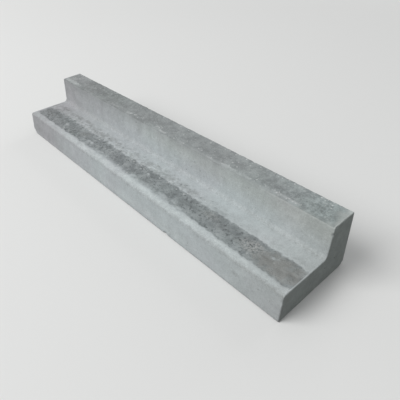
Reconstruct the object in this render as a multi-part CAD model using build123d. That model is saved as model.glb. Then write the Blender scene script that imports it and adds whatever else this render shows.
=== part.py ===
"""A precast concrete kerb stone, cast in one piece: a wide flat shelf with a low upstand along its back.

The stone lies as it is laid, on its bed. X runs along its length, Y across it from the front of the
shelf to the back of the upstand, and Z is up. The origin is the middle of the bed. Sizes are millimetres.
"""

from build123d import *

import os
from math import radians, tan

# Overall size, and the shelf that the upstand rises from
length = 1000.0
bed_width = 200.0
overall_height = 135.0
shelf_height = 65.0  # at the front arris
shelf_fall = 2.0  # drop of the shelf from its front arris to the upstand's foot
upstand_top_width = 61.0

# Lean that lets the stone leave its mould, in degrees from upright
front_draft = 8.0
upstand_draft = 7.0

# Rounding of the cast arrises, and of the corner between shelf and upstand
shelf_arris_radius = 6.0
top_front_radius = 4.0
top_back_radius = 3.0
bed_arris_radius = 2.5
root_radius = 10.0
end_arris_radius = 2.0
end_share_of_arris = 0.8  # the ends are rounded by no more than this share of the tightest arris


def kerb_section():
    """The stone's cross-section: six corners, each with its own rounding."""
    # The front corner of the bed is sharper than square, so its rounding falls short of the corner,
    # which is set out by that much to keep the full width.
    corner_reach = bed_arris_radius / tan(radians((90 - front_draft) / 2))
    front = -bed_width / 2 - (corner_reach - bed_arris_radius)
    back = bed_width / 2
    shelf_front = front + shelf_height * tan(radians(front_draft))
    root_height = shelf_height - shelf_fall
    upstand_front = back - upstand_top_width
    upstand_foot = upstand_front - (overall_height - root_height) * tan(radians(upstand_draft))
    corners = [
        ((front, 0), bed_arris_radius),
        ((shelf_front, shelf_height), shelf_arris_radius),
        ((upstand_foot, root_height), root_radius),
        ((upstand_front, overall_height), top_front_radius),
        ((back, overall_height), top_back_radius),
        ((back, 0), bed_arris_radius),
    ]
    with BuildSketch(Plane.YZ) as section:
        Polygon(*[place for place, radius in corners], align=None)
        for place, radius in corners:
            # The sketch's own vertices are in its plane, as the corners are.
            corner = section.vertices().sort_by_distance(Vector(*place))[0]
            fillet(corner, radius)
    return section.sketch


def kerb_stone():
    """The section drawn out to the stone's length, with the arrises of both ends eased."""
    stone = extrude(kerb_section(), amount=length / 2, both=True)
    end_edges = stone.edges().group_by(Axis.X)
    tightest_arris = min(shelf_arris_radius, top_front_radius, top_back_radius, bed_arris_radius)
    end_radius = min(end_arris_radius, end_share_of_arris * tightest_arris)
    return fillet(end_edges[0] + end_edges[-1], end_radius)


os.makedirs("parts", exist_ok=True)
export_step(kerb_stone(), "parts/kerb_stone.step")
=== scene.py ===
import random
from math import hypot, pi, radians, tan

import bmesh
import bpy
from mathutils import Euler, Matrix, Vector, noise


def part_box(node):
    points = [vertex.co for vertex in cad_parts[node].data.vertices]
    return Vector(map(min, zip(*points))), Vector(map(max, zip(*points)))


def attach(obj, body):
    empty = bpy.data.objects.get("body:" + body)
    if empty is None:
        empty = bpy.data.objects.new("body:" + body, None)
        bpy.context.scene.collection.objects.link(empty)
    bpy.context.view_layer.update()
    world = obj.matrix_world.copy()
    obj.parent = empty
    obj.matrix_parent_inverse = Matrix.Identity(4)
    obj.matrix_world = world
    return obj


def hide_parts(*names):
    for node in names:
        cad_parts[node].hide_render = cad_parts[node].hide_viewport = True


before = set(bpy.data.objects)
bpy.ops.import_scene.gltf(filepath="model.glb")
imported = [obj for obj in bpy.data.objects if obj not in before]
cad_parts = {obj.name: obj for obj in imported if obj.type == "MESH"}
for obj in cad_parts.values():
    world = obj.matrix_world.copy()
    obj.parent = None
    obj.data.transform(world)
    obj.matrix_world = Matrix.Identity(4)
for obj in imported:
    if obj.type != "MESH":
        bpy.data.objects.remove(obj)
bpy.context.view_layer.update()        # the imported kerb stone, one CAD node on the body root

low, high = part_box("kerb_stone")

# The stone's own sizes, in metres. Its length, width and height come from the frame.
stone = {
    "name": "castStone",
    "shelfHeight": 0.065,      # at the front arris
    "shelfFall": 0.002,        # from the front arris to the foot of the upstand
    "upstandTop": 0.061,
    "frontLean": 8.0,          # degrees from upright
    "upstandLean": 7.0,
    "shelfArris": 0.006,
    "root": 0.010,
    "topFrontArris": 0.004,
    "topBackArris": 0.003,
    "bedArris": 0.0025,
    "endEasing": 0.002,
    "endSteps": 2,             # steps of the rounding round each end
    "cell": 0.0024,            # size of the mesh's faces where the camera sees them
    "hiddenCell": 0.006,       # and on the bed and the back
    "capCell": 0.0032,         # and on the two ends
    "lengthSteps": 21,         # the length is divided into so many steps
    "stepCells": 20,           # and each step into so many cells
}

half = (high.x - low.x) / 2


def outlineCorners():
    # the six corners of the section before they are rounded: y, z, radius, steps of the rounding
    foot = high.y - stone["upstandTop"]
    rootZ = stone["shelfHeight"] - stone["shelfFall"]
    sharpen = stone["bedArris"] / tan(radians((90 - stone["frontLean"]) / 2)) - stone["bedArris"]
    front = low.y - sharpen
    shelfY = front + stone["shelfHeight"] * tan(radians(stone["frontLean"]))
    rootY = foot - (high.z - rootZ) * tan(radians(stone["upstandLean"]))
    return {
        "bedFront": (front, 0.0, stone["bedArris"], 3),
        "shelfArris": (shelfY, stone["shelfHeight"], stone["shelfArris"], 5),
        "root": (rootY, rootZ, stone["root"], 7),
        "topFront": (foot, high.z, stone["topFrontArris"], 4),
        "topBack": (high.y, high.z, stone["topBackArris"], 3),
        "bedBack": (high.y, 0.0, stone["bedArris"], 3),
    }


corners = outlineCorners()
shelfY, shelfZ = corners["shelfArris"][:2]
rootY, rootZ = corners["root"][:2]
topY = corners["topFront"][0]
frontY = corners["bedFront"][0]


# How the parts of the mesh are told apart while it is modelled, in metres
telling = {
    "same": 1e-5,              # places this close are the same
    "corner": 2e-4,            # an edge this close to a corner belongs to it
    "offLine": 0.004,          # a strip lies at most this far off the line between its two corners
    "strip": 0.03,             # strips are wider than this, and the faces of the roundings narrower
    "whole": 0.5,              # edges that run the whole length are longer than this
    "upwards": 0.9,            # the least cosine for a face that looks up
    "squarely": 0.999,         # and for one that looks along the stone
    "inLine": 0.9999,          # and for an edge that runs along the line between two corners
    "coplanar": 0.5,           # degrees between two faces that are made one
}


def pick(kind, test):
    # selects the faces or edges that pass a test, and nothing else
    bpy.ops.mesh.select_mode(type=kind)
    bpy.ops.mesh.select_all(action="DESELECT")
    mesh = bmesh.from_edit_mesh(bpy.context.edit_object.data)
    for item in {"EDGE": mesh.edges, "FACE": mesh.faces}[kind]:
        if test(item):
            item.select_set(True)
    mesh.select_flush_mode()
    bmesh.update_edit_mesh(bpy.context.edit_object.data)


def lengthwise(edge, shortest=telling["whole"]):
    a, b = (vertex.co for vertex in edge.verts)
    level = abs(a.y - b.y) < telling["same"] and abs(a.z - b.z) < telling["same"]
    return level and abs(a.x - b.x) > shortest


def edgeAt(y, z):
    def found(edge):
        place = edge.verts[0].co
        return lengthwise(edge) and hypot(place.y - y, place.z - z) < telling["corner"]

    return found


def shiftEdge(y, z, moveY, moveZ):
    pick("EDGE", edgeAt(y, z))
    bpy.ops.transform.translate(value=(0, moveY, moveZ))


def makeOutline():
    # a slab as wide as the bed, the upstand drawn up from its rear strip, then the leans and the fall
    width, depth = high.y - low.y, stone["shelfHeight"]
    bpy.ops.object.select_all(action="DESELECT")
    bpy.ops.mesh.primitive_cube_add(size=1, location=(0, 0, depth / 2), scale=(2 * half, width, depth))
    bpy.ops.object.transform_apply(location=True, rotation=False, scale=True)
    body = bpy.context.object
    body.name = body.data.name = stone["name"]
    bpy.ops.object.mode_set(mode="EDIT")
    bpy.ops.mesh.select_all(action="SELECT")
    bpy.ops.mesh.bisect(plane_co=(0, topY, 0), plane_no=(0, 1, 0))
    pick("FACE", lambda face: face.normal.z > telling["upwards"] and face.calc_center_median().y > topY)
    bpy.ops.mesh.extrude_region_move(TRANSFORM_OT_translate={"value": (0, 0, high.z - depth)})
    bpy.ops.mesh.select_all(action="SELECT")
    bpy.ops.mesh.dissolve_limited(angle_limit=radians(telling["coplanar"]))
    shiftEdge(low.y, 0, frontY - low.y, 0)
    shiftEdge(low.y, depth, shelfY - low.y, 0)
    shiftEdge(topY, depth, rootY - topY, -stone["shelfFall"])
    return body


def roundOff(setback, steps):
    bpy.ops.mesh.bevel(offset=setback, offset_type="OFFSET", segments=steps, affect="EDGES")


def roundOutline():
    names = list(corners)
    for number, name in enumerate(names):
        y, z, radius, steps = corners[name]
        before, after = (Vector(corners[names[beside % len(names)]][:2]) - Vector((y, z))
                         for beside in (number - 1, number + 1))
        pick("EDGE", edgeAt(y, z))
        roundOff(radius / tan(before.angle(after) / 2), steps)
    outermost = 2 * half - telling["same"]
    pick("EDGE", lambda edge: abs(edge.verts[0].co.x + edge.verts[1].co.x) > outermost)
    roundOff(stone["endEasing"], stone["endSteps"])


def crossCuts(first, second, cell):
    # divides the strip between two corners, at every ring of the mesh that crosses it
    a, b = Vector(corners[first][:2]), Vector(corners[second][:2])
    along = (b - a).normalized()
    lengths = []

    def crosses(edge):
        start, stop = (vertex.co for vertex in edge.verts)
        p, q = Vector(start.yz), Vector(stop.yz)
        if abs(start.x - stop.x) > telling["same"] or (q - p).length < telling["strip"]:
            return False
        if abs((q - p).normalized().dot(along)) < telling["inLine"]:
            return False
        if abs((p - a).cross(along)) > telling["offLine"]:
            return False
        lengths.append((q - p).length)
        return True

    pick("EDGE", crosses)
    bpy.ops.mesh.subdivide(number_cuts=round(max(lengths) / cell) - 1)


def isCap(face):
    place = abs(face.calc_center_median().x)
    return abs(face.normal.x) > telling["squarely"] and abs(place - half) < telling["same"]


def cutCells():
    fine, coarse, capCell = stone["cell"], stone["hiddenCell"], stone["capCell"]
    strips = [("bedFront", "shelfArris", fine), ("shelfArris", "root", fine), ("root", "topFront", fine),
              ("topFront", "topBack", fine), ("topBack", "bedBack", coarse), ("bedBack", "bedFront", coarse)]
    for first, second, cell in strips:
        crossCuts(first, second, cell)
    for normal, start, stop in ((Vector((0, 1, 0)), low.y, high.y), (Vector((0, 0, 1)), 0.0, high.z)):
        place = start + capCell
        while place < stop - capCell / 2:
            pick("FACE", isCap)
            bpy.ops.mesh.bisect(plane_co=normal * place, plane_no=normal)
            place += capCell
    for shortest, pieces in ((telling["whole"], stone["lengthSteps"]),
                             (telling["strip"], stone["stepCells"])):
        pick("EDGE", lambda edge: lengthwise(edge, shortest))
        bpy.ops.mesh.subdivide(number_cuts=pieces - 1)


# What casting, weather and handling left on the stone. Lengths are in metres. A place along the stone is x.
# Across the shelf, and across the top, it is measured back from that face's front arris.
wear = {
    "steps": 200,                    # the weights that the relief follows are whole parts of this
    "bandInside": 1.3,               # how much longer the band's front fades inwards than outwards
    "bandBare": 0.35,                # how much less rough the band is in its bare patches
    "stripEnds": (0.002, -0.006),    # how the lime on the shelf ends, from the band's front edge
    "limeHides": 0.8,                # share of the dirt that lime hides
    "rootShade": 0.022,               # how far the painted shade reaches from the corner at the upstand's foot
    "arris": (0.985, 0.90),          # the rounded parts: by the largest share of the normal on one axis
    "backArris": 0.5,                # how worn the top's rear arris is
    "bedSkin": 0.001,                # the bed is below this height, and how uneven and worn it is
    "bedSag": 0.25,
    "bedArris": 0.3,
    "topArris": 0.020,               # the top's front arris is this far above the shelf and before the back
    "shelfArris": (-0.009, -0.003),  # heights from the shelf between which its arris gets its painted shade
}

# The two ends, by how far a place lies inside them: where each thing starts, and where it is full
ends = {
    "tone": (0.0012, 0.0),           # the end's darker tone
    "rim": (0.0042, 0.0018),         # the painted highlight on the rounding round it
    "rimFoot": 0.03,                 # the height from which the rim gets its painted highlight
    "rimHighlight": 0.8,
    "arris": (0.010, 0.0),           # the arrises are less worn close to the ends
    "arrisLess": 0.5,
}

# How far each face reaches into the roundings beside it
faceReach = {
    "shelf": 0.004,                  # past its arris, and short of the upstand's foot
    "shelfSkin": 0.0025,             # above and below it
    "topSkin": 0.0015,
    "topBack": 0.004,
    "upstandFoot": 0.006,
    "upstandSkin": 0.002,
    "upstandTop": 0.004,
    "front": 0.006,                  # past the shelf's arris
    "frontFoot": 0.010,              # the height that it starts from
}

# The small holes that trapped air left in the cast faces
airHoles = {
    "seed": 7,
    "count": 60,
    "x": (-0.49, 0.49),
    "share": (0.1, 0.9),             # of the face's height, or of the end's width
    "radius": (0.0010, 0.0017),
    "sides": ("front", "upstand", "back", "back", "end", "end"),
    "backRadius": 1.4,               # how much larger they are on the back and on the ends
    "endRadius": 1.3,
    "endHeights": (0.006, 0.05),     # the lowest on an end, and how much higher they reach
    "seen": (0.437, 0.0358, 0.109, 0.0014),
    "near": 0.005,                   # no hole reaches further along the stone than this
}

# Relief, in the order in which it is pressed in: the weight that it follows, its depth and its texture
reliefs = [
    ("nick", 0.0060, None, {}),
    ("sag", 0.0006, "CLOUDS", {"noise_scale": 0.09, "noise_depth": 1}),       # unevenness of the cast faces
    ("grit", 0.0008, None, {}),       # the rough band lies lower
    ("grit", 0.0012, "CLOUDS", {"noise_scale": 0.0060, "noise_depth": 2, "contrast": 1.8}),
    ("coarse", 0.0012, "VORONOI", {"noise_scale": 0.0075, "noise_intensity": 1.2}),
    ("top", 0.0009, "CLOUDS", {"noise_scale": 0.0075, "noise_depth": 2, "contrast": 1.5}),
    ("arris", 0.0012, "CLOUDS", {"noise_scale": 0.0110, "noise_depth": 2, "contrast": 1.8}),
    ("hole", 0.0016, None, {}),
]

# the weights that the concrete's colours follow
paintedKinds = ("grit", "dirt", "pale", "brown", "coarse", "loose", "top", "end", "hole", "nick")

# Amounts that add up over a face, by name. Each row is an amount, where it lies along the stone, and where it
# lies across the face. A place is one or two fades, each from where there is none to where it is full, and ()
# is everywhere. On the upright faces, across is a height.
middle = (-0.42, -0.22, 0.40, 0.22)
centre = (-0.28, -0.12, 0.32, 0.14)
behindBand = (0.062, 0.072, 0.108, 0.086)
sandBehind = (0.060, 0.066, 0.104, 0.086)
limeEdge = (-0.003, 0.009)
sandStarts = (-half + 0.020, -half + 0.100)
topWidth = stone["upstandTop"]
topRear = (topWidth - 0.018, topWidth - 0.004)
layers = {
    # the rough band: where its back is, how its edges fade, and where it is worn or ends
    "bandBack": [(0.0675, (), ()), (0.0030, (-0.08, 0.05), ()), (0.0039, (0.22, 0.34), ())],
    "bandFrontFade": [(0.00352, (), ()), (0.00416, centre, ())],
    "bandBackFade": [(0.0032, (), ()), (0.00256, (0.30, 0.05), ())],
    "bandBackRagged": [(1.0, (), ()), (1.0, (0.15, -0.15), ())],
    "bandWorn": [(0.42, centre, (0.046, 0.028))],
    "bandShows": [(1.0, (-half - 0.010, -half + 0.030), ())],
    "bandDirt": [
        (0.06, (), ()),
        (0.26, (), (0.022, 0.046)),
        (0.26, (-0.20, -0.42), ()),
        (-0.10, (0.06, 0.12, 0.22, 0.16), ()),
        (0.22, (-0.20, -0.32), (0.052, 0.036)),
    ],
    # the shelf behind the band, and the lime in front of it
    "behind": [(0.25, (), behindBand), (0.75, (0.26, 0.06), behindBand)],
    # dirt on the shelf; the row all over it and the rows along the upstand's foot are painted shade
    "shelfDirtAndShade": [
        (0.08, (), ()),
        (0.20, middle, (0.060, 0.080)),
        (-0.18, (-0.2, 0.1), (0.088, 0.100)),
        (0.14, (-0.2, 0.1), (0.102, 0.114)),
        (0.14, (0.28, 0.40), (0.102, 0.114)),
    ],
    "paleCrumbs": [(0.5, (0.30, 0.22), (0.060, 0.070, 0.092, 0.078))],
    "loose": [
        (0.04, sandStarts, sandBehind),
        (0.16, (*sandStarts, 0.28, 0.16), sandBehind),
        (0.55, (*sandStarts, 0.14, -0.02), sandBehind),
        (0.45, (*sandStarts, 0.18, 0.02), (0.012, 0.017, 0.032, 0.023)),
    ],
    "strip": [(0.32, (), limeEdge), (0.26, middle, limeEdge)],
    # the top
    "crust": [(0.16, (-0.435, -0.475), ())],
    "scattered": [(0.5, (), (0.001, 0.006, 0.022, 0.006)), (0.4, (-0.435, -0.475), (0.001, 0.006))],
    "topRear": [(0.18, (), topRear), (0.12, (0.1, 0.3), topRear)],
    "topWorn": [(0.30, (-0.05, 0.15), (0.014, 0.001))],
    "topWornEnd": [(1.0, (0.455, 0.495), ())],
    "topDirt": [
        (0.16, (0.05, -0.05), ()),
        (0.20, (), (0.004, 0.020, topWidth, topWidth - 0.022)),
        (0.34, (-0.43, -0.37, -0.16, -0.26), ()),
        (0.26, (0.33, 0.44), (0.050, 0.025)),
    ],
    # the upstand's face: the stain is measured down from the top, and the dirt and painted shade up from the
    # root
    "upstandStain": [(0.50, (), (0.034, -0.006)), (-0.25, (0.25, 0.42), (0.034, -0.006))],
    # the top's dirt carried over the upstand's top arris, which also serves as painted shade on its rounding
    "upstandArris": [(0.2, (), (0.0055, 0.0015)), (-0.1, (0.25, 0.42), (0.0055, 0.0015))],
    "upstandDirtAndShade": [
        (0.18, (), ()),
        (-0.08, (0.25, 0.42), ()),
        (0.14, (), (0.008, 0.040)),
        (0.12, (), (0.036, 0.060)),
        (-0.084, (0.25, 0.42), (0.036, 0.060)),
        (0.14, (-0.40, -0.30, -0.10, -0.20), ()),
    ],
    # the front: darker at its far end, and painted shade just below the shelf's arris
    "frontDirtAndShade": [(0.18, (-0.12, -0.38), ()), (0.12, (), (shelfZ - 0.014, shelfZ - 0.006))],
    "frontPale": [(0.5, (-0.22, -0.02, 0.36, 0.20), (0.038, 0.010))],
    # painted shade at the upstand's root and on the shelf's arris, and the top's dirt with painted shade on
    # the top's front arris
    "rootShade": [(0.42, (), ()), (-0.22, (0.30, 0.42), (rootZ, rootZ + 0.006))],
    "topArrisDirtAndShade": [(0.22, (), ()), (0.05, (0.30, 0.42), ()), (0.24, (-0.30, -0.40), ())],
    "shelfArrisShade": [(0.46, (), (0.009, -0.001)), (0.24, (-0.35, -0.05), (0.009, -0.001))],
}

# Unevenness by name: its average, and rows of how much, the size of its lumps, and how far its pattern is
# shifted and how much it is squeezed, along and across
rags = {
    "bandFront": (0.0, (0.005, 0.022, 0, 5.1, 1, 0), (0.005, 0.0075), (0.004, 0.0040)),
    "bandBack": (0.0, (0.006, 0.030, 0, 9.3, 1, 0)),
    "bandBackEdge": (0.0, (0.005, 0.0075), (0.004, 0.0040)),
    "bandBare": (0.0, (1.0, 0.013, 2, 0, 1, 1.3)),
    "smeared": (0.24, (1.44, 0.0120, 5, 0, 1, 1.4), (1.8, 0.0060, 0, 4, 0.8, 1)),
    "sprinkled": (0.10, (0.9, 0.0085, 0, 7)),
    "paleCrumbs": (0.0, (1.0, 0.0060, 9, 0)),
    "loose": (0.0, (1.0, 0.018, 11, 0)),
    "strip": (1.0, (1.2, 0.028), (1.3, 0.013), (1.1, 0.005)),
    "blot": (0.0, (0.55, 0.009, 3, 0), (0.35, 0.004, 0, 3)),
    "scattered": (0.0, (1.0, 0.007, 7, 0)),
    "topWornEnd": (0.55, (0.9, 0.014)),
    "upstandStain": (0.0, (0.012, 0.014, 0, 1.7, 1, 0), (0.006, 0.006)),
    "frontMark": (0.0, (0.6, 0.005)),
    "frontPale": (1.0, (1.0, 0.015, 0, 3)),
    "nick": (1.0, (0.8, 0.004)),
}

# Fades that don't depend on the place alone: of the unevenness of the same name, or from a spot's middle
shows = {
    "bandBare": (0.02, 0.24),
    "paleCrumbs": (0.06, 0.26),
    "loose": (-0.20, 0.12),
    "scattered": (0.20, 0.34),
    "blot": (1.20, 0.45),
    "frontMark": (1.3, 0.2),
    "hole": (1.5, 0.3),
    "nick": (1.0, 0.2),
}
blotReach = 1.6                        # how far a mark reaches at most, in its own half lengths and widths

# the band's front edge: x, across
bandFront = [
    (-0.500, 0.0186), (-0.346, 0.0186), (-0.247, 0.0200), (-0.148, 0.0194), (-0.050, 0.0200), (0.050, 0.0185),
    (0.148, 0.0167), (0.247, 0.0206), (0.346, 0.0186), (0.500, 0.0180),
]

# marks on the shelf: kind, x, across, half length, half width, strength
shelfMarks = [
    ("dark", -0.445, 0.050, 0.045, 0.022, 0.6),
    ("pale", -0.405, 0.045, 0.010, 0.020, 0.3),
    ("pale", -0.345, 0.045, 0.012, 0.009, 0.9),
    ("pale", -0.270, 0.056, 0.020, 0.010, 0.6),
    ("pale", -0.235, 0.048, 0.012, 0.012, 0.5),
    ("pale", -0.200, 0.038, 0.016, 0.006, 0.7),
    ("pale", 0.009, 0.058, 0.006, 0.004, 0.9),
    ("pale", 0.042, 0.057, 0.007, 0.004, 1.0),
    ("pale", 0.016, 0.044, 0.005, 0.003, 0.7),
    ("pale", 0.135, 0.028, 0.020, 0.009, 0.4),
    ("pale", 0.106, 0.075, 0.012, 0.006, 0.9),
    ("loose", 0.108, 0.075, 0.018, 0.008, 1.0),
    ("loose", 0.160, 0.078, 0.024, 0.007, 0.7),
    ("loose", 0.045, 0.078, 0.026, 0.007, 0.8),
    ("pale", -0.110, 0.076, 0.020, 0.005, 0.6),
    ("dark", -0.440, 0.092, 0.034, 0.008, 0.7),
    ("dark", -0.350, 0.091, 0.016, 0.007, 0.9),
    ("dark", -0.312, 0.094, 0.012, 0.006, 0.7),
    ("dark", -0.290, 0.088, 0.016, 0.006, 0.7),
    ("dark", -0.215, 0.084, 0.020, 0.008, 0.5),
    ("dark", -0.165, 0.089, 0.018, 0.007, 0.6),
    ("dark", 0.010, 0.084, 0.018, 0.010, 0.5),
    ("dark", 0.092, 0.084, 0.020, 0.009, 0.5),
    ("dark", 0.175, 0.082, 0.020, 0.009, 0.4),
    ("grit", 0.258, 0.078, 0.035, 0.009, 0.35),
    ("dark", 0.325, 0.048, 0.040, 0.020, 0.1),
    ("coarse", 0.380, 0.052, 0.030, 0.018, 1.0),
    ("coarse", 0.262, 0.060, 0.026, 0.014, 0.4),
    ("dark", 0.250, 0.056, 0.022, 0.011, 0.40),
    ("dark", 0.298, 0.049, 0.018, 0.011, 0.35),
    ("dark", 0.352, 0.046, 0.012, 0.010, 0.35),
    ("brown", 0.450, 0.046, 0.066, 0.033, 1.0),
    ("dark", 0.425, 0.046, 0.022, 0.0035, 0.5),
    ("dark", 0.481, 0.042, 0.012, 0.008, 0.6),
    ("dark", 0.458, 0.036, 0.012, 0.008, 0.3),
    ("brown", -0.250, 0.050, 0.030, 0.016, 0.3),
    ("pale", 0.419, 0.054, 0.005, 0.0035, 0.5),
    ("pale", 0.429, 0.055, 0.007, 0.0040, 0.6),
    ("pale", 0.440, 0.059, 0.005, 0.0035, 0.4),
    ("lime", -0.268, 0.013, 0.012, 0.004, 0.8),
    ("lime", -0.228, 0.013, 0.010, 0.004, 0.5),
    ("lime", -0.150, 0.016, 0.012, 0.005, 0.8),
    ("lime", -0.122, 0.012, 0.014, 0.006, 0.9),
    ("lime", -0.082, 0.017, 0.010, 0.004, 0.9),
    ("lime", -0.050, 0.014, 0.014, 0.005, 0.8),
    ("lime", 0.015, 0.015, 0.014, 0.005, 0.7),
    ("lime", 0.075, 0.013, 0.020, 0.005, 0.7),
    ("lime", 0.160, 0.014, 0.016, 0.005, 0.6),
    ("lime", 0.240, 0.013, 0.018, 0.005, 0.7),
    ("lime", 0.330, 0.011, 0.020, 0.004, 0.6),
    ("lime", 0.395, 0.012, 0.016, 0.004, 0.5),
    ("lime", 0.455, 0.010, 0.032, 0.005, 0.8),
    ("grit", 0.265, 0.023, 0.003, 0.002, 1.0),
]

# what each kind of mark changes, by how much, and how much of the grit it hides
markKinds = {
    "dark": ("dirt", 0.8, 0.0),
    "grit": ("grit", 1.0, 0.0),
    "pale": ("pale", 0.5, 0.7),
    "lime": ("pale", 1.2, 1.0),
    "loose": ("loose", 1.0, 0.0),
    "coarse": ("coarse", 1.0, 0.0),
    "brown": ("brown", 1.0, 0.0),
}
addUp = ("dark", "grit")               # these add up, and of the others the strongest shows
needGrit = ("coarse", "brown")         # these show only where there is grit

# stains on the front: x, z, half length, half height, strength
frontMarks = [
    (0.390, 0.036, 0.010, 0.007, 0.6),
    (-0.455, 0.030, 0.030, 0.018, 0.3),
    (0.180, 0.020, 0.022, 0.008, 0.2),
]

# pale flecks on the top, mostly behind its front arris: x, across, half length, half width, strength
topFlecks = [
    (-0.456, 0.0105, 0.052, 0.0075, 1.0),
    (-0.470, 0.030, 0.030, 0.016, 0.4),
    (-0.211, 0.008, 0.026, 0.0035, 0.7),
    (-0.137, 0.010, 0.012, 0.005, 1.0),
    (-0.116, 0.012, 0.009, 0.006, 0.9),
    (-0.015, 0.010, 0.012, 0.006, 0.4),
    (0.008, 0.0050, 0.020, 0.0035, 1.0),
    (0.070, 0.006, 0.036, 0.0035, 0.5),
    (0.176, 0.0045, 0.014, 0.0035, 0.9),
    (0.232, 0.0075, 0.030, 0.004, 1.0),
    (0.291, 0.006, 0.012, 0.0035, 0.9),
    (0.384, 0.009, 0.050, 0.0045, 0.8),
    (0.452, 0.046, 0.022, 0.011, 0.35),
]

# nicks out of the arrises: x, y, z, reach, depth as a share of the deepest
nicks = [
    (-0.500, -0.100, 0.000, 0.016, 1.0),
    (0.500, 0.0470, 0.1350, 0.0075, 0.50),
    (0.500, 0.0370, 0.1176, 0.0040, 0.50),
    (0.500, 0.0700, 0.1350, 0.0050, 0.15),
    (0.500, -0.0930, 0.050, 0.006, 0.15),
    (0.500, 0.100, 0.000, 0.010, 0.4),
    (-0.120, 0.100, 0.135, 0.006, 0.3),
    (0.262, 0.100, 0.135, 0.005, 0.3),
    (-0.500, 0.100, 0.030, 0.008, 0.5),
    (0.180, -0.100, 0.000, 0.009, 0.4),
    (-0.310, 0.100, 0.000, 0.012, 0.6),
]


def ease(start, stop, value):
    share = min(1.0, max(0.0, (value - start) / (stop - start)))
    return share * share * (3 - 2 * share)


def follow(line, x):
    # a line given by its points, smooth between each pair
    for (startX, start), (stopX, stop) in zip(line, line[1:]):
        if x <= stopX:
            break
    return start + (stop - start) * ease(startX, stopX, x)


def layer(name, x, across=0.0):
    # what the rows of this name add up to at a place
    total = 0.0
    for amount, *places in layers[name]:
        for place, value in zip(places, (x, across)):
            for start, stop in zip(place[::2], place[1::2]):
                amount *= ease(start, stop, value)
        total += amount
    return total


def lump(x, y, size, shiftX=0, shiftY=0, squeezeX=1, squeezeY=1):
    # smooth noise from -0.5 to 0.5 with lumps of about this size
    place = (squeezeX * x + shiftX) / size, (squeezeY * y + shiftY) / size
    return 0.5 * noise.noise(Vector((*place, 37 * size)))      # so that no two sizes have the same pattern


def rag(name, x, y=0.0):
    average, *rows = rags[name]
    return average + sum(amount * lump(x, y, *shape) for amount, *shape in rows)


def patch(name, x, across, more=0.0):
    # 1 where the unevenness of this name is high enough, and 0 where it isn't
    return ease(*shows[name], more + rag(name, x, across))


def blot(x, across, markX, markAcross, reachX, reachAcross, strength):
    far = hypot((x - markX) / reachX, (across - markAcross) / reachAcross)
    if far > blotReach:
        return 0.0
    return strength * patch("blot", x, across, far)


def shelfCoat(x, across):
    # pale where the mould closed the paste, dark and rough along the band, and smeared behind it
    frontAt = follow(bandFront, x) + rag("bandFront", x, across)
    frontFade = layer("bandFrontFade", x)
    backAt = layer("bandBack", x) + rag("bandBack", x)
    backAt += layer("bandBackRagged", x) * rag("bandBackEdge", x, across)
    backFade = layer("bandBackFade", x)
    grit = ease(-frontFade, wear["bandInside"] * frontFade, across - frontAt)
    grit *= ease(backFade, -backFade, across - backAt) * layer("bandShows", x)
    grit *= (1 - wear["bandBare"] * patch("bandBare", x, across)) * (1 - layer("bandWorn", x, across))

    # dirt on the band, and dirt and painted shade on the mottled ground behind it, with a little sand over
    # that ground
    behind = layer("behind", x, across)
    ground = layer("shelfDirtAndShade", x, across) + behind * rag("smeared", x, across)
    dirt = grit * layer("bandDirt", x, across) + (1 - grit) * ground
    grit = min(1.0, grit + behind * max(0.0, rag("sprinkled", x, across)))
    coat = {"grit": grit, "dirt": dirt, "brown": 0.0, "coarse": 0.0}
    coat["pale"] = layer("paleCrumbs", x, across) * patch("paleCrumbs", x, across)
    coat["loose"] = layer("loose", x, across) * patch("loose", x, across)
    for kind, *mark in shelfMarks:
        changed, strength, hides = markKinds[kind]
        amount = blot(x, across, *mark)
        coat["grit"] *= 1 - hides * amount
        if kind in addUp:
            coat[changed] += strength * amount
        elif kind in needGrit:
            coat[changed] = max(coat[changed], amount * coat["grit"])
        else:
            coat[changed] = max(coat[changed], strength * amount)
    strip = layer("strip", x, across) * ease(*wear["stripEnds"], across - frontAt) * rag("strip", x, across)
    coat["pale"] = max(coat["pale"], strip)
    coat["dirt"] *= 1 - min(1.0, wear["limeHides"] * coat["pale"])
    return coat


def topCoat(x, across):
    # the top was struck off and weathered darker, with pale flecks along its front
    pale = max(blot(x, across, *mark) for mark in topFlecks)
    scattered = layer("scattered", x, across) * patch("scattered", x, across, layer("crust", x))
    pale = max(pale, scattered, layer("topRear", x, across))
    worn = max(layer("topWorn", x, across), layer("topWornEnd", x) * rag("topWornEnd", x, across))
    return {"top": 1 - worn, "pale": min(1.0, pale), "dirt": layer("topDirt", x, across)}


def upstandCoat(x, z):
    # the upstand's face greys towards its top, where the top's dirt has run down, and takes dirt and painted
    # shade up from its root
    down = high.z - z
    stain = layer("upstandStain", x, down + rag("upstandStain", x, z))
    return {"top": stain + layer("upstandArris", x, down), "dirt": layer("upstandDirtAndShade", x, z - rootZ)}


def frontCoat(x, z):
    # the front is paler near the bed along its middle
    dirt = layer("frontDirtAndShade", x, z)
    for markX, markZ, reachX, reachZ, strength in frontMarks:
        far = hypot((x - markX) / reachX, (z - markZ) / reachZ)
        dirt += strength * patch("frontMark", x, z, far)
    return {"pale": layer("frontPale", x, z) * rag("frontPale", x, z), "dirt": dirt}


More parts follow.
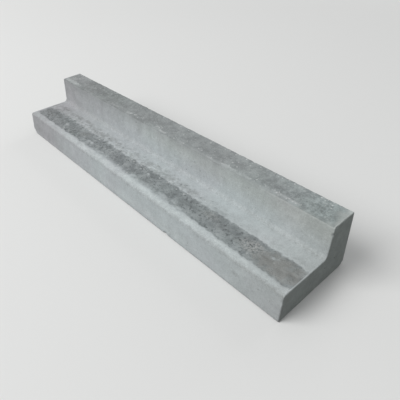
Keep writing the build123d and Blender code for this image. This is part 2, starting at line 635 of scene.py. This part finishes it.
def findHoles():
    # the holes' places and radius, of which one is seen in the upstand and the others are scattered
    pickAt = random.Random(airHoles["seed"])
    found = [airHoles["seen"]]
    lowest, higher = airHoles["endHeights"]
    for _ in range(airHoles["count"]):
        x, share, size = (pickAt.uniform(*airHoles[measure]) for measure in ("x", "share", "radius"))
        side = pickAt.choice(airHoles["sides"])
        if side == "front":
            found.append((x, frontY + share * (shelfY - frontY), share * shelfZ, size))
        elif side == "upstand":
            found.append((x, rootY + share * (topY - rootY), rootZ + share * (high.z - rootZ), size))
        elif side == "back":
            found.append((x, high.y, share * high.z, airHoles["backRadius"] * size))
        else:
            y, z = low.y + share * (high.y - low.y), lowest + higher * share
            found.append((pickAt.choice((-half, half)), y, z, airHoles["endRadius"] * size))
    return found


def faceCoat(x, y, z):
    # the weights of the face that a place lies on; the back, the bed and the ends have none of their own
    across, back = y - shelfY, high.y - faceReach["topBack"]
    level = z - shelfZ + across * stone["shelfFall"] / (rootY - shelfY)
    onShelf = -faceReach["shelf"] < across and y < rootY - faceReach["shelf"]
    onUpstand = rootY - faceReach["upstandFoot"] < y < topY + faceReach["upstandTop"]
    if onShelf and abs(level) < faceReach["shelfSkin"]:
        return shelfCoat(x, across)
    if z > high.z - faceReach["topSkin"] or (y > back and z > high.z - faceReach["topBack"]):
        return topCoat(x, y - topY)
    if onUpstand and z > rootZ - faceReach["upstandSkin"]:
        return upstandCoat(x, z)
    if across < faceReach["front"] and z > faceReach["frontFoot"]:
        return frontCoat(x, z)
    return {}


def coatAt(place, normal, holes):
    # every weight at one point of the surface
    x, y, z = place
    inside = half - abs(x)
    coat = {"sag": 1.0, "dirt": 0.0, "grit": 0.0, "top": 0.0, "pale": 0.0, "hole": 0.0, "nick": 0.0}
    coat.update(faceCoat(x, y, z))
    root = 0.0
    if hypot(y - rootY, z - rootZ) < wear["rootShade"]:
        root = max(0.0, -2 * normal.y * normal.z)      # 1 halfway round the corner
    facing = max(abs(share) for share in normal)
    arris = ease(*wear["arris"], facing) * (1 - root) * (1 - ends["arrisLess"] * ease(*ends["arris"], inside))
    coat["end"] = ease(*ends["tone"], inside)
    # a painted highlight along the ends' rounding, clear of the band and the top
    rim = ease(*ends["rim"], inside) * (z > ends["rimFoot"])
    coat["grit"] *= 1 - rim
    coat["top"] *= 1 - rim
    coat["pale"] = max(coat["pale"], ends["rimHighlight"] * rim * (1 - coat["end"]))
    if y > high.y - faceReach["topBack"]:
        arris *= wear["backArris"]
    if z < wear["bedSkin"]:
        coat["sag"] = wear["bedSag"]
        arris *= wear["bedArris"]
    coat["arris"] = arris

    # painted shade in the corner at the upstand's foot and on the two front arrises, with the top's dirt on
    # the top's front arris
    if z > shelfZ + wear["topArris"] and y < high.y - wear["topArris"]:
        coat["dirt"] += layer("topArrisDirtAndShade", x) * arris
    coat["dirt"] += layer("rootShade", x, z) * root
    coat["dirt"] += layer("shelfArrisShade", x, y - shelfY) * ease(*wear["shelfArris"], z - shelfZ)
    coat["dirt"] *= 1 - coat["end"]
    for *at, radius in holes:
        far = (Vector(at) - place).length / radius
        coat["hole"] = max(coat["hole"], ease(*shows["hole"], far))
    for *at, reach, share in nicks:
        if abs(x - at[0]) < reach:
            far = (Vector(at) - place).length / reach
            coat["nick"] = max(coat["nick"], share * ease(*shows["nick"], far) * rag("nick", x + y, z))
    return coat


def weather(body):
    # paints the weights that the concrete's colours and the relief follow
    holes = findHoles()
    coats = []
    for vertex in body.data.vertices:
        near = [hole for hole in holes if abs(hole[0] - vertex.co.x) < airHoles["near"]]
        coats.append(coatAt(vertex.co, vertex.normal, near))

    def weights(kind):
        return [min(1.0, max(0.0, coat.get(kind, 0.0))) for coat in coats]

    for kind in paintedKinds:
        body.data.attributes.new(kind, "FLOAT", "POINT").data.foreach_set("value", weights(kind))
    for kind in dict.fromkeys(relief[0] for relief in reliefs):
        group = body.vertex_groups.new(name=kind)
        levels = {}
        for number, weight in enumerate(weights(kind)):
            levels.setdefault(round(weight * wear["steps"]), []).append(number)
        for level, members in levels.items():
            group.add(members, level / wear["steps"], "REPLACE")


def pressIn(body, group, depth, kind, settings):
    # sinks the faces under a painted weight, by a texture where one is given and never outwards
    bpy.ops.object.modifier_add(type="DISPLACE")
    press = body.modifiers[-1]
    press.vertex_group = group
    press.texture_coords = "LOCAL"
    press.strength = depth if kind else -depth
    press.mid_level = 1.0 if kind else 0.0
    if kind:
        press.texture = bpy.data.textures.new(group + kind, kind)
        for setting, value in settings.items():
            setattr(press.texture, setting, value)
    bpy.ops.object.modifier_apply(modifier=press.name)


print("modelling the stone's outline")
body = makeOutline()
roundOutline()
print("cutting it into cells")
cutCells()
bpy.ops.object.mode_set(mode="OBJECT")
print("weathering it")
weather(body)
for relief in reliefs:
    pressIn(body, *relief)
bpy.ops.object.shade_smooth()


class Wire:
    # a socket that takes part in sums, such as 1 - mask * 2, which add the Math nodes they need
    def __init__(self, tree, socket=None):
        self.tree = tree
        self.socket = socket

    def node(self, kind, settings=None, sockets=None, out=0):
        made = self.tree.nodes.new(kind)
        for name, value in (settings or {}).items():
            setattr(made, name, value)
        for name, value in (sockets or {}).items():
            if isinstance(value, Wire):
                self.tree.links.new(value.socket, made.inputs[name])
            else:
                made.inputs[name].default_value = value
        return Wire(self.tree, made.outputs[out] if made.outputs else None)

    def twin(self, out):
        # another output of the same node
        return Wire(self.tree, self.socket.node.outputs[out])

    def math(self, operation, *values):
        return self.node("ShaderNodeMath", {"operation": operation}, dict(enumerate(values)))

    def __add__(self, other):
        return self.math("ADD", self, other)

    def __sub__(self, other):
        return self.math("SUBTRACT", self, other)

    def __mul__(self, other):
        return self.math("MULTIPLY", self, other)

    def __radd__(self, other):
        return self.math("ADD", other, self)

    def __rsub__(self, other):
        return self.math("SUBTRACT", other, self)

    def __rmul__(self, other):
        return self.math("MULTIPLY", other, self)

    def rising(self, start, stop):
        # 0 up to start, 1 from stop, and smooth between
        sockets = {"Value": self, "From Min": start, "From Max": stop}
        return self.node("ShaderNodeMapRange", {"interpolation_type": "SMOOTHSTEP"}, sockets)

    def between(self, first, second):
        # two colours mixed by this value
        colours = {slot: colour if isinstance(colour, Wire) else (*colour, 1)
                   for slot, colour in ((6, first), (7, second))}
        return self.node("ShaderNodeMix", {"data_type": "RGBA"}, {0: self, **colours}, out=2)

    def scaled(self, amount):
        return self.node("ShaderNodeVectorMath", {"operation": "SCALE"}, {0: self, "Scale": amount})

    def times(self, other):
        # a colour or a place multiplied by another one
        return self.node("ShaderNodeVectorMath", {"operation": "MULTIPLY"}, {0: self, 1: other})

    def cloud(self, scale, detail, roughness):
        sockets = {"Vector": self, "Scale": scale, "Detail": detail, "Roughness": roughness}
        return self.node("ShaderNodeTexNoise", {}, sockets)

    def spots(self, scale, smallest, largest, ragged):
        # round spots of several sizes, as shares of their spacing: where they are, how far a place is from a
        # spot's middle, and two chances for each spot
        away = self.node("ShaderNodeTexVoronoi", {}, {"Vector": self, "Scale": scale}, out="Distance")
        chance = away.node("ShaderNodeSeparateColor", {}, {0: away.twin("Color")})
        size = smallest + (largest - smallest) * chance.twin(1)
        return (size - away - ragged).rising(*turns["spotEdge"]), away, chance, chance.twin(2)


# The concrete's colours, as they look in plain light
look = {
    "paste": (0.498, 0.535, 0.546),
    "pasteFar": (0.498, 0.503, 0.519),
    "pasteNear": (0.506, 0.535, 0.537),
    "bloomAndHighlight": (0.582, 0.620, 0.624),    # lime along the shelf's front, and the painted highlight on the ends' rounding
    "dirt": (0.695, 0.690, 0.680),     # all over dirt and painted shade, which the colours below it are multiplied by
    "grit": (0.256, 0.279, 0.284),
    "gritLight": (0.345, 0.373, 0.378),
    "gritDark": (0.168, 0.184, 0.189),
    "grain": (0.440, 0.452, 0.445),    # light stones that show in the rough band
    "darkGrain": (0.120, 0.127, 0.132),
    "gapShade": (0.165, 0.172, 0.172),      # painted shade between the stones of the coarse patches
    "brown": (0.300, 0.305, 0.297),
    "topDark": (0.252, 0.270, 0.270),
    "topLight": (0.341, 0.366, 0.365),
    "topNear": (0.965, 1.010, 1.012),  # the dirt's hue at each end of the stone
    "topFar": (1.018, 0.993, 1.003),
    "fleck": (0.470, 0.492, 0.492),
    "lime": (0.620, 0.645, 0.640),
    # painted shade inside the holes and pores
    "hole": (0.060, 0.064, 0.064),
    "end": (0.343, 0.370, 0.358),
    "warm": (1.005, 1.000, 0.970),     # the upper half of the upstand
    "rosy": (1.010, 0.998, 1.004),     # slow drifts of hue, which the other colours are multiplied by
    "green": (0.990, 1.002, 0.996),
}

# The concrete's noises by name: scale, detail and roughness, and how they are squeezed along, across and up
noises = {
    "patches": (8.0, 3, 0.55),         # about 120 mm across
    "blotches": (38.0, 4, 0.6),        # 25 mm
    "mottles": (130.0, 3, 0.6),        # 8 mm
    "fine": (430.0, 3, 0.65),          # 2 mm
    "sand": (1500.0, 2, 0.6),
    "streaks": (1.0, 3, 0.6, (60.0, 60.0, 6.0)),
    "hue": (1.0, 2, 0.5, (7.0, 9.0, 9.0)),
}

# Mixes of these noises, each with its average first
mixes = {
    "shade": (1.0, {"patches": 0.24, "blotches": 0.32, "mottles": 0.26, "fine": 0.60}),
    "bloomAndHighlight": (1.0, {"mottles": 1.6, "fine": 1.2}),
    "clots": (0.0, {"blotches": 0.60, "mottles": 0.40, "fine": 0.25}),
    "topShade": (1.0, {"patches": 0.35, "fine": 0.4}),
    "topSpeckle": (0.0, {"mottles": 1.0, "blotches": 0.4}),
    "topEdge": (0.0, {"mottles": 0.5, "fine": 0.4}),
    "whitened": (0.0, {"fine": 0.5, "mottles": 0.9}),
    "ragged": (0.0, {"fine": 0.9, "sand": 0.5}),
    "bandEdge": (0.0, {"mottles": 0.7, "fine": 0.6}),
    "bandShade": (1.0, {"blotches": 0.3}),
    "bandSpeckle": (0.0, {"fine": 0.6, "sand": 0.3}),
    "dirt": (1.0, {"fine": -1.6, "mottles": -1.0}),
    "endShade": (1.0, {"mottles": 0.5, "blotches": 0.5}),
    "bumps": (0.0, {"fine": 0.6, "sand": 0.35, "mottles": 0.5}),
    "bandBumps": (0.4, {"fine": 0.8}),
}

# Spots by name: how many to a metre, the smallest and the largest as shares of their spacing, how ragged they
# are, and the chance at which they begin to show and show fully
spotKinds = {
    "flecks": (170.0, 0.14, 0.34, 1.0, (0.97, 1.03)),
    "grains": (360.0, 0.18, 0.42, 0.0, (0.35, 0.55)),
    "pebbles": (165.0, 0.16, 0.36, 1.0, (0.78, 0.84)),
    "chips": (260.0, 0.48, 0.72, 0.6, (0.04, 0.10)),
    "litter": (175.0, 0.27, 0.54, 1.0, (0.97, 1.03)),
    "pores": (85.0, 0.02, 0.07, 0.0, (0.55, 0.60)),
}

# Fades: along the stone and up it in metres, and else of a noise, a weight or a chance
turns = {
    "spotEdge": (-0.06, 0.06),
    "farEnd": (-0.10, -0.48),          # from none to full
    "nearEnd": (0.25, 0.52),
    "upper": (0.075, 0.120),
    "warm": (-0.30, 0.10),
    "clots": (-0.14, 0.14),
    "top": (0.10, 0.90),
    "whitened": (0.20, 0.85),
    "band": (0.16, 0.70),
    "gritLight": (-0.12, 0.12),
    "gritDark": (0.0, -0.20),
    "calm": (0.10, 0.28),
    "stoneTone": (0.15, 1.0),
    "litterTone": (0.45, 0.60),
    "hue": (-0.15, 0.15),
    "hole": (0.3, 0.9),
}

# How strongly each thing shows
strengths = {
    "farDull": 0.17,                   # how much darker the paste is at each end of the stone
    "nearDull": 0.09,
    "streaks": 0.14,                   # down the upright faces
    "streaksAbove": 0.18,              # and what the upper half of the upstand has more
    "whitened": 0.55,
    "flecks": 0.75,
    "fleckOnTop": 0.04,                # how much likelier flecks are on the top and where it is whitened
    "fleckWhitened": 0.8,
    "pebblesCoarse": 0.25,             # how much likelier pebbles are in the coarse patches
    "gapShade": 0.35,
    "calmBrown": 0.35,                 # how much less the brown and the near part of the band vary
    "calmNear": 0.45,
    "grains": 0.7,
    "pebbles": 0.85,
    "chipsLight": 0.9,                 # how much lighter the stones of the coarse patches are
    "litter": 0.55,
    "end": 0.85,
    "pores": 0.6,
    "nick": 0.5,
    "rough": 0.88,                     # the surface's roughness, and what the band adds and lime takes away
    "roughBand": 0.08,
    "smoothLime": 0.05,
    "poresDeep": 1.5,                  # heights in the bump, next to the noises' own
    "grainsHigh": 1.2,
    "pebblesHigh": 2.0,
    "chipsHigh": 1.5,
    "bump": 0.35,
    "bumpHeight": 0.0012,              # metres
    "specular": 0.25,
}


def concrete(name):
    material = bpy.data.materials.new(name)
    material.use_nodes = True
    tree = material.node_tree
    tree.nodes.clear()
    place = Wire(tree).node("ShaderNodeTexCoord", out="Object")
    along = place.node("ShaderNodeSeparateXYZ", {}, {0: place})
    upper = along.twin(2).rising(*turns["upper"])
    much = strengths

    def painted(kind):
        return place.node("ShaderNodeAttribute", {"attribute_name": kind}, out="Fac")

    def pattern(scale, detail, roughness, squeeze=None):
        # a noise that averages 0
        return (place.times(squeeze) if squeeze else place).cloud(scale, detail, roughness) - 0.5

    patterns = {kind: pattern(*shape) for kind, shape in noises.items()}

    def mixed(kind):
        average, shares = mixes[kind]
        return sum((share * patterns[each] for each, share in shares.items()), average)

    grit, dirt, pale, brown, coarse, loose, top, end, hole, nick = map(painted, paintedKinds)
    ragged = mixed("ragged")

    def spotted(kind, likelier=0.0):
        # spots of one kind: where they are, how far their middle is, and a chance for each
        scale, smallest, largest, rag, shown = spotKinds[kind]
        where, away, tone, chance = place.spots(scale, smallest, largest, rag * ragged)
        return where * (likelier + chance).rising(*shown), away, tone

    # the paste, duller towards both ends of the stone, with streaks down its upright faces
    farEnd, nearEnd = along.rising(*turns["farEnd"]), along.rising(*turns["nearEnd"])
    cast = (1 - top) * (1 - grit) * (1 - pale)
    streaked = cast * (much["streaks"] + much["streaksAbove"] * upper) * patterns["streaks"]
    shade = (1 - much["farDull"] * farEnd - much["nearDull"] * nearEnd) * (mixed("shade") + streaked)
    colour = farEnd.between(look["paste"], look["pasteFar"])
    colour = nearEnd.between(colour, look["pasteNear"])
    # lime, and the painted highlight on the ends' rounding
    colour = (pale * mixed("bloomAndHighlight")).between(colour, look["bloomAndHighlight"]).scaled(shade)
    colour = (upper * along.rising(*turns["warm"])).between(colour, colour.times(look["warm"]))

    # the top, with clots of darker and lighter dirt, and speckled towards the near end
    topColour = mixed("clots").rising(*turns["clots"]).between(look["topDark"], look["topLight"])
    topColour = topColour.scaled(mixed("topShade") + nearEnd * mixed("topSpeckle"))
    topColour = nearEnd.between(topColour, topColour.times(look["topNear"]))
    topColour = farEnd.between(topColour, topColour.times(look["topFar"]))
    colour = (top + mixed("topEdge")).rising(*turns["top"]).between(colour, topColour)
    whitened = pale * top
    broken = (whitened + mixed("whitened")).rising(*turns["whitened"])
    colour = (much["whitened"] * broken).between(colour, look["fleck"])
    flecks = spotted("flecks", much["fleckOnTop"] * top + much["fleckWhitened"] * whitened)[0]
    colour = (much["flecks"] * flecks).between(colour, look["lime"])

    # the rough band: sand and small round stones, light and dark, in a worn paste
    edge = (grit + mixed("bandEdge")).rising(*turns["band"])
    grains, grainAway, grainTone = spotted("grains")
    pebbles, pebbleAway, pebbleTone = spotted("pebbles", much["pebblesCoarse"] * coarse)
    chips, chipAway, chipTone = spotted("chips")
    chips = chips * coarse
    gritColour = patterns["blotches"].rising(*turns["gritLight"]).between(look["grit"], look["gritLight"])
    gritColour = patterns["mottles"].rising(*turns["gritDark"]).between(gritColour, look["gritDark"])
    gritColour = farEnd.between(gritColour, gritColour.times(look["topFar"]))
    gritColour = brown.between(gritColour, look["brown"])
    # painted shade between the stones of the coarse patches
    gritColour = (much["gapShade"] * coarse).between(gritColour, look["gapShade"])
    calmNear = much["calmNear"] * along.rising(*turns["calm"]) * (1 - coarse) * (1 - brown)
    calm = 1 - much["calmBrown"] * brown - calmNear
    for shown, tone in ((much["grains"] * grains * calm, grainTone),
                        (much["pebbles"] * pebbles * calm, pebbleTone),
                        (chips, chipTone + much["chipsLight"])):
        stoneColour = tone.rising(*turns["stoneTone"]).between(look["darkGrain"], look["grain"])
        gritColour = shown.between(gritColour, stoneColour)
    colour = edge.between(colour, gritColour.scaled(mixed("bandShade") + calm * mixed("bandSpeckle")))

    # sand and crumbs of lime that lie loose behind the band
    litter, _, litterTone = spotted("litter", loose)
    litterColour = litterTone.rising(*turns["litterTone"]).between(look["grit"], look["lime"])
    colour = (much["litter"] * litter).between(colour, litterColour)

    # dirt and painted shade over all of these, the ends' darker tone, and what breaks the skin
    colour = (dirt * mixed("dirt")).between(colour, colour.times(look["dirt"]))
    shadedEnd = place.node("ShaderNodeVectorMath", {"operation": "SCALE"}, {
        0: look["end"], "Scale": mixed("endShade")})
    colour = (much["end"] * end).between(colour, shadedEnd)
    colour = colour.times(patterns["hue"].rising(*turns["hue"]).between(look["rosy"], look["green"]))
    # the pores and air holes are painted dark as the shade inside them
    pores = cast * spotted("pores")[0]
    colour = (much["pores"] * pores + hole.rising(*turns["hole"])).between(colour, look["hole"])
    colour = (much["nick"] * nick).between(colour, look["bloomAndHighlight"])

    rough = much["rough"] + much["roughBand"] * edge - much["smoothLime"] * pale
    bandHeight = mixed("bandBumps") + much["grainsHigh"] * grains * (1 - grainAway)
    bandHeight = bandHeight + much["pebblesHigh"] * pebbles * (1 - pebbleAway)
    bandHeight = bandHeight + much["chipsHigh"] * chips * (1 - chipAway)
    height = mixed("bumps") - much["poresDeep"] * pores + edge * bandHeight
    normal = place.node("ShaderNodeBump", {}, {
        "Strength": much["bump"], "Distance": much["bumpHeight"], "Height": height})
    surface = place.node("ShaderNodeBsdfPrincipled", {}, {
        "Base Color": colour, "Roughness": rough, "Normal": normal, "Specular IOR Level": much["specular"]})
    place.node("ShaderNodeOutputMaterial", {}, {"Surface": surface})
    return material


print("mixing the concrete")
body.data.materials.clear()
body.data.materials.append(concrete("kerbConcrete"))
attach(body, "root")
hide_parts("kerb_stone")

studio = {
    "floorSize": 30.0,
    "floorFades": (1.5, 4.5),              # how far from the stone it fades into the sky
    "floorSeen": (0.78, 0.78, 0.77),
    "floorBounce": (0.17, 0.17, 0.165),    # what the floor sends back on the stone
    "skySeen": (0.80, 0.80, 0.79),
    "sky": (0.375, 0.382, 0.385),
    "lampSize": 5.0,
    "lampAway": 7.0,
    # where each lamp is from the stone, and its level
    "lamps": {"keyLamp": ((-0.34, -0.585, 0.738), 0.81), "fillLamp": ((-0.10, 0.95, 0.30), 0.22)},
}

view = {
    "place": (0.7415, -0.4612, 0.6189),
    "turn": 50.18,                         # degrees
    "down": 38.55,
    "roll": -3.73,
    "focal": 406.1,                        # pixels, in a picture 400 pixels wide
    "width": 400.0,
    "sensor": 36.0,
    "nearest": 0.01,
}


def seenByCamera(tree):
    # 1 for what the camera sees, and 0 for the light that reaches the stone
    start = Wire(tree)
    camera, glossy, clear = (start.node("ShaderNodeLightPath", out=ray)
                             for ray in ("Is Camera Ray", "Is Glossy Ray", "Is Transmission Ray"))
    return camera.math("MAXIMUM", camera, glossy.math("MAXIMUM", glossy, clear))


def makeFloor():
    bpy.ops.object.select_all(action="DESELECT")
    bpy.ops.mesh.primitive_plane_add(size=studio["floorSize"], location=(0, 0, 0))
    floor = bpy.context.object
    floor.name = "studioFloor"
    material = bpy.data.materials.new("paleFloor")
    material.use_nodes = True
    tree = material.node_tree
    tree.nodes.clear()
    shown = seenByCamera(tree)
    place = shown.node("ShaderNodeTexCoord", out="Object")
    away = place.node("ShaderNodeVectorMath", {"operation": "LENGTH"}, {0: place}, out="Value")
    colour = shown.between(studio["floorBounce"], studio["floorSeen"])
    lit = shown.node("ShaderNodeBsdfDiffuse", {}, {"Color": colour})
    sky = shown.node("ShaderNodeEmission", {}, {"Color": (*studio["skySeen"], 1)})
    faded = shown * away.rising(*studio["floorFades"])
    surface = shown.node("ShaderNodeMixShader", {}, {"Fac": faded, 1: lit, 2: sky})
    shown.node("ShaderNodeOutputMaterial", {}, {"Surface": surface})
    material.cycles.emission_sampling = "NONE"      # the faded part lights nothing
    floor.data.materials.append(material)


def lightStudio():
    world = bpy.data.worlds.new("studioSky")
    bpy.context.scene.world = world
    world.use_nodes = True
    tree = world.node_tree
    tree.nodes.clear()
    colour = seenByCamera(tree).between(studio["sky"], studio["skySeen"])
    sky = colour.node("ShaderNodeBackground", {}, {"Color": colour})
    colour.node("ShaderNodeOutputWorld", {}, {"Surface": sky})
    for name, (towards, level) in studio["lamps"].items():
        away = Vector(towards).normalized()
        bpy.ops.object.light_add(type="AREA", location=away * studio["lampAway"],
                                 rotation=away.to_track_quat("Z", "Y").to_euler())
        lamp = bpy.context.object
        lamp.name = name
        lamp.data.size = studio["lampSize"]
        lamp.data.energy = level * pi ** 2 * studio["lampAway"] ** 2


def placeCamera():
    aim = Euler((radians(90 - view["down"]), 0, radians(view["turn"]))).to_matrix()
    aim = aim @ Matrix.Rotation(radians(view["roll"]), 3, "Z")
    bpy.ops.object.camera_add(location=view["place"], rotation=aim.to_euler())
    camera = bpy.context.object
    camera.data.sensor_width = view["sensor"]
    camera.data.lens = view["sensor"] * view["focal"] / view["width"]
    camera.data.clip_start = view["nearest"]
    bpy.context.scene.camera = camera


print("setting up the studio")
makeFloor()
lightStudio()
placeCamera()
bpy.context.scene.view_settings.view_transform = "Standard"
